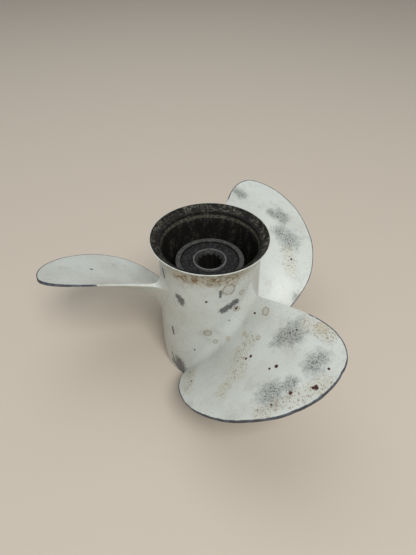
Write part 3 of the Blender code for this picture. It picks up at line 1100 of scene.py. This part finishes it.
    # Blade edges: a strip of worn metal, darkened further with painted shade of the edge faces
    bare_shade_share = n.put("ShaderNodeAttribute", attribute_name="edge_bare_shade").outputs["Fac"]
    worn_shade_inset = n.plus(inset, n.times(n.minus(rim_noise, 0.5), 0.0009))
    bare_shade = n.rest(n.between(worn_shade_inset, *BARE_SHADE_STRIP))
    bare_shade = n.times(bare_shade, n.between(n.plus(bare_shade_share, grain), 0.85, 1.0))
    metal = n.blend(n.between(grain, 0.42, 0.60), rgba(finish.bare_metal_shade), rgba(finish.rubbed_metal_shade))
    colour = n.blend(bare_shade, colour, metal)

    marked = strongest(n, [smudge, rust, bare_shade, n.times(film, 0.5)])
    gloss = n.plus(0.30, n.times(marked, 0.34))
    relief = n.minus(n.times(grain, 0.10), n.times(n.math("MAXIMUM", rust, bare_shade), 0.5))
    n.feed(shader, {
        "Base Color": colour,
        "Metallic": n.times(bare_shade, 0.35),
        "Roughness": n.plus(gloss, n.times(grain, 0.16)),
        "Normal": n.bump(relief, 0.30, 0.0003),
    })
    return material


def soot_material(sizes, finish):
    """Exhaust soot over old paint inside the barrel: flaked on the funnel, streaked on the wall, and on the
    ledge flaked over a painted highlight.
    """
    material, n, shader, place = new_material("exhaust_soot")
    shader.inputs["Specular IOR Level"].default_value = DULL_SPECULAR
    height = n.put("ShaderNodeSeparateXYZ", {0: place}).outputs["Z"]
    foot = sizes.length - sizes.funnel_depth
    groove_low = foot - sizes.groove_width
    ledge_low = groove_low - sizes.ledge_depth
    streaked = n.vector("MULTIPLY", place, (1.0, 1.0, 0.40))
    cloud = n.between(n.noise(place, 75.0, 6.0, 0.72, 0.6), 0.42, 0.60)
    flake = n.between(n.noise(place, 420.0, 5.0, 0.78), 0.46, 0.58)
    streak = n.between(n.noise(streaked, 120.0, 6.0, 0.74), 0.47, 0.66)
    funnel = n.between(height, foot + 0.0001, foot + 0.0012)
    # The ledge keeps a steady lighter base under its flakes: painted light falling on the ledge from above
    ledge = n.times(
        n.between(height, ledge_low, ledge_low + 0.001),
        n.rest(n.between(height, groove_low - 0.0012, groove_low - 0.0007)))
    on_funnel = n.times(funnel, n.times(cloud, n.plus(0.06, n.times(flake, 0.86))))
    ledge_flakes_and_light = n.times(ledge, n.plus(0.22, n.times(flake, 0.55)))
    on_wall = n.times(streak, n.times(flake, 0.50))
    showing = strongest(n, [on_funnel, ledge_flakes_and_light, on_wall])
    colour = n.blend(showing, rgba(finish.soot), rgba(finish.sooty_paint))
    boss_top = n.times(
        n.between(height, sizes.boss_aft - 0.0012, sizes.boss_aft - 0.0004),
        n.rest(n.between(height, sizes.boss_aft, sizes.boss_aft + 0.0008)))
    near_boss = n.rest(n.between(n.from_shaft(place), sizes.boss_radius, sizes.boss_radius + 0.001))
    rubbed = n.times(n.times(boss_top, near_boss), n.plus(0.45, n.times(flake, 0.5)))
    n.feed(shader, {
        "Base Color": n.blend(rubbed, colour, rgba(finish.boss_face)),
        "Roughness": n.minus(0.72, n.times(showing, 0.25)),
        "Normal": n.bump(n.noise(place, 700.0, 5.0, 0.7), 0.5, 0.0005),
    })
    return material


def rubber_material(finish, groups):
    """Dark aged rubber with dry dust."""
    material, n, shader, place = new_material("aged_rubber")
    shader.inputs["Specular IOR Level"].default_value = DULL_SPECULAR
    dust = n.group(groups["specks"], {"Vector": place, "Scale": 700.0, "Share": 0.43, "Edge": 0.06})
    film = n.between(n.noise(place, 150.0, 6.0, 0.75), 0.45, 0.70)
    colour = n.blend(n.times(film, 0.14), rgba(finish.rubber), rgba(finish.dust))
    colour = n.blend(n.times(dust, 0.50), colour, rgba(finish.dust))
    n.feed(shader, {
        "Base Color": colour,
        "Roughness": n.plus(0.62, n.times(film, 0.25)),
        "Normal": n.bump(n.noise(place, 900.0, 4.0, 0.7), 0.6, 0.0005),
    })
    return material


def sleeve_material(core, finish, groups):
    """Scuffed metal: rubbed on its end ring, faintly so in its mouth; the mouth and the bore are black,
    partly grime and partly painted shade of the deep hole.
    """
    material, n, shader, place = new_material("scuffed_sleeve")
    shader.inputs["Specular IOR Level"].default_value = DULL_SPECULAR
    grime = n.between(n.noise(place, 420.0, 6.0, 0.7), 0.40, 0.62)
    fleck = n.group(groups["specks"], {"Vector": place, "Scale": 900.0, "Share": 0.42, "Edge": 0.08})
    out = n.from_shaft(place)
    height = n.put("ShaderNodeSeparateXYZ", {0: place}).outputs["Z"]
    ring = n.between(out, core.mouth_radius - 0.0004, core.mouth_radius + 0.0002)
    lip = n.between(height, SLEEVE_HIGH.z - 0.0046, SLEEVE_HIGH.z - 0.0030)
    rubbed = n.math("MAXIMUM", n.times(ring, 0.50), n.times(lip, 0.10))
    rubbed = n.times(rubbed, n.rest(n.times(grime, 0.55)))
    # Soot black wherever the metal is not rubbed: grime, and painted shade in the countersunk mouth and the
    # bore
    colour = n.blend(rubbed, rgba(finish.soot), rgba(finish.sleeve))
    colour = n.blend(n.times(n.times(fleck, lip), 0.40), colour, rgba(finish.dust))
    n.feed(shader, {
        "Base Color": colour,
        "Metallic": n.times(rubbed, 0.5),
        "Roughness": n.plus(0.45, n.times(grime, 0.30)),
        "Normal": n.bump(n.noise(place, 1100.0, 4.0, 0.7), 0.4, 0.0003),
    })
    return material


def shared_groups():
    """The effects that more than one material or mark uses, built once."""
    if "worn_mark" not in bpy.data.node_groups:
        worn_mark_group()
        ring_mark_group()
        speck_group()
    return {name: bpy.data.node_groups[name] for name in ("worn_mark", "ring_mark", "specks")}


def split_inside(body, sizes):
    """Give the faces inside the barrel the second material."""
    foot = sizes.length - sizes.funnel_depth
    for face in body.data.polygons:
        centre = face.center
        radius = math.hypot(centre.x, centre.y)
        inside = radius < sizes.bore + INSIDE_MARGIN and centre.z > 0.0002
        towards_shaft = centre.x * face.normal.x + centre.y * face.normal.y < 0.0
        funnel = radius < sizes.rim_radius and centre.z > sizes.neck_height and towards_shaft
        beside_groove = foot - sizes.groove_width - 0.0010 < centre.z < foot + 0.0010
        groove = beside_groove and radius < sizes.funnel_foot + sizes.groove_depth + 0.0003
        face.material_index = 1 if inside or funnel or groove else 0


class PROPELLER_OT_casting(bpy.types.Operator):
    """Build the painted casting: barrel, boss, webs and three blades in one piece"""

    bl_idname = "propeller.casting"
    bl_label = "Casting"

    def execute(self, context):
        scene = context.scene
        sizes, blades, finish = scene.propeller_sizes, scene.propeller_blades, scene.propeller_finish
        body = build_casting(sizes, blades)
        keep_edge_wear_and_shade(body, sizes, blades)
        groups = shared_groups()
        body.data.materials.clear()
        body.data.materials.append(paint_material(sizes, blades, finish, groups))
        body.data.materials.append(soot_material(sizes, finish))
        split_inside(body, sizes)
        smooth(body)
        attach(body, "root")
        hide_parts("casting")
        return {"FINISHED"}


class PROPELLER_OT_bushing(bpy.types.Operator):
    """Build the rubber bushing, its corners rounded at the boss and the sleeve"""

    bl_idname = "propeller.bushing"
    bl_label = "Rubber Bushing"

    def execute(self, context):
        scene = context.scene
        core = scene.propeller_core
        outer = core.bushing_radius
        bore = core.sleeve_radius + core.clearance
        section = tube_section(outer, bore, BUSHING_LOW.z, BUSHING_HIGH.z, 0.0012, 0.0006)
        ring = turned("rubber_ring", section, BUSHING_SIDES)
        ring.data.materials.append(rubber_material(scene.propeller_finish, shared_groups()))
        smooth(ring)
        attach(ring, "root")
        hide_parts("rubber_bushing")
        return {"FINISHED"}


class PROPELLER_OT_sleeve(bpy.types.Operator):
    """Build the splined sleeve with its rounded teeth and countersunk mouth"""

    bl_idname = "propeller.sleeve"
    bl_label = "Splined Sleeve"

    def execute(self, context):
        scene = context.scene
        core = scene.propeller_core
        low, high = SLEEVE_LOW.z, SLEEVE_HIGH.z
        bore = core.spline_tip - 0.0014
        sink = core.mouth_radius - bore
        section = arc((core.sleeve_radius - 0.0005, low + 0.0005), 0.0005, -90.0, 0.0, 3)
        section += arc((core.sleeve_radius - 0.0005, high - 0.0005), 0.0005, 0.0, 90.0, 3)
        section += [(core.mouth_radius + 0.0002, high), (core.mouth_radius - 0.0002, high - 0.0003)]
        section += [(bore, high - sink), (bore, low)]
        sleeve = turned("toothed_sleeve", section, SLEEVE_SIDES)
        join_solid(sleeve, spline_cutter(core, low, high), "DIFFERENCE")
        bevel_edges(sleeve, 0.00018, 40.0, 2)
        face_outwards(sleeve)
        sleeve.data.materials.clear()
        sleeve.data.materials.append(sleeve_material(core, scene.propeller_finish, shared_groups()))
        smooth(sleeve)
        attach(sleeve, "root")
        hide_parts("splined_sleeve")
        return {"FINISHED"}


def spline_cutter(core, low, high):
    """What the splined bore takes out: a toothed circle extruded through the sleeve."""
    count = core.spline_count
    deselect_all()
    bpy.ops.mesh.primitive_circle_add(vertices=4 * count, radius=core.spline_root, fill_type="NGON")
    cutter = bpy.context.object
    cutter.name = "bore"
    pitch = TURN / count
    half = 0.5 * TOOTH_SHARE * pitch
    turns = (-TOOTH_TIP * half, TOOTH_TIP * half, half, pitch - half)
    radii = (core.spline_tip, core.spline_tip, core.spline_root, core.spline_root)
    for vertex in cutter.data.vertices:
        tooth, corner = divmod(vertex.index, 4)
        flat = polar(radii[corner], tooth * pitch + turns[corner])
        vertex.co = (flat.x, flat.y, low - 0.002)
    edit(cutter)
    bpy.ops.mesh.extrude_region_move(TRANSFORM_OT_translate={"value": (0.0, 0.0, high - low + 0.004)})
    bpy.ops.object.mode_set(mode="OBJECT")
    face_outwards(cutter)
    return cutter


def area_light(name, power, size, place, target, colour):
    """A soft square light aimed at a point."""
    data = bpy.data.lights.new(name, "AREA")
    data.energy = power
    data.size = size
    data.color = colour
    light = bpy.data.objects.new(name, data)
    bpy.context.scene.collection.objects.link(light)
    light.location = place
    light.rotation_euler = (Vector(target) - Vector(place)).to_track_quat("-Z", "Y").to_euler()


class PROPELLER_OT_stage(bpy.types.Operator):
    """Set the pale floor, the soft lights and the camera"""

    bl_idname = "propeller.stage"
    bl_label = "Stage"

    def execute(self, context):
        scene = context.scene
        stage = scene.propeller_stage
        deselect_all()
        bpy.ops.mesh.primitive_plane_add(size=FLOOR_SIDE, location=(0.0, 0.0, -FLOOR_GAP))
        floor = context.object
        floor.name = "floor"
        settle(floor)
        pale, _, shader, _ = new_material("plain_floor")
        shader.inputs["Base Color"].default_value = rgba(stage.floor)
        shader.inputs["Roughness"].default_value = 0.8
        floor.data.materials.append(pale)

        world = bpy.data.worlds.new("soft_room")
        scene.world = world
        world.use_nodes = True
        background = world.node_tree.nodes["Background"]
        background.inputs["Color"].default_value = rgba(stage.sky)
        background.inputs["Strength"].default_value = stage.sky_strength
        middle = (0.0, 0.0, 0.07)
        area_light("ceiling", stage.key_power, 0.7, (0.36, -1.05, 1.65), middle, (0.98, 1.0, 1.0))
        area_light("overhead", 0.40 * stage.key_power, 1.6, (-0.3, 0.5, 1.7), middle, (0.96, 0.99, 1.0))

        data = bpy.data.cameras.new("camera")
        data.sensor_fit = "VERTICAL"
        data.sensor_height = 36.0
        data.lens = stage.lens
        data.clip_start = 0.01
        camera = bpy.data.objects.new("camera", data)
        scene.collection.objects.link(camera)
        turn = Matrix.Rotation(stage.camera_yaw, 4, "Z")
        tilt = Matrix.Rotation(0.5 * math.pi - stage.camera_pitch, 4, "X")
        roll = Matrix.Rotation(stage.camera_roll, 4, "Z")
        camera.location = (0.0, -stage.camera_back, stage.camera_height)
        camera.rotation_euler = (turn @ tilt @ roll).to_euler()
        scene.camera = camera
        scene.view_settings.view_transform = "Standard"
        return {"FINISHED"}


class PROPELLER_PT_panel(bpy.types.Panel):
    """Lists the propeller's pieces and their settings"""

    bl_idname = "PROPELLER_PT_panel"
    bl_label = "Propeller"
    bl_space_type = "VIEW_3D"
    bl_region_type = "UI"
    bl_category = "Propeller"

    def draw(self, context):
        for operator in OPERATORS:
            self.layout.operator(operator.bl_idname)
        for name in GROUPS:
            box = self.layout.box()
            settings = getattr(context.scene, name)
            box.label(text=settings.bl_rna.name)
            for key in settings.__annotations__:
                box.prop(settings, key)


OPERATORS = (PROPELLER_OT_casting, PROPELLER_OT_bushing, PROPELLER_OT_sleeve, PROPELLER_OT_stage)
GROUPS = {
    "propeller_sizes": PropellerSizes,
    "propeller_blades": PropellerBlades,
    "propeller_core": PropellerCore,
    "propeller_finish": PropellerFinish,
    "propeller_stage": PropellerStage,
}


def register():
    """Register the classes and hang the settings on the scene."""
    for name, kind in GROUPS.items():
        bpy.utils.register_class(kind)
        setattr(bpy.types.Scene, name, PointerProperty(type=kind))
    for kind in (*OPERATORS, PROPELLER_PT_panel):
        bpy.utils.register_class(kind)


def unregister():
    """Take the classes and the settings away again."""
    for kind in (PROPELLER_PT_panel, *reversed(OPERATORS)):
        bpy.utils.unregister_class(kind)
    for name, kind in GROUPS.items():
        delattr(bpy.types.Scene, name)
        bpy.utils.unregister_class(kind)


def main():
    """Build every piece and set the stage."""
    register()
    bpy.ops.propeller.casting()
    bpy.ops.propeller.bushing()
    bpy.ops.propeller.sleeve()
    bpy.ops.propeller.stage()


if __name__ == "__main__":
    main()
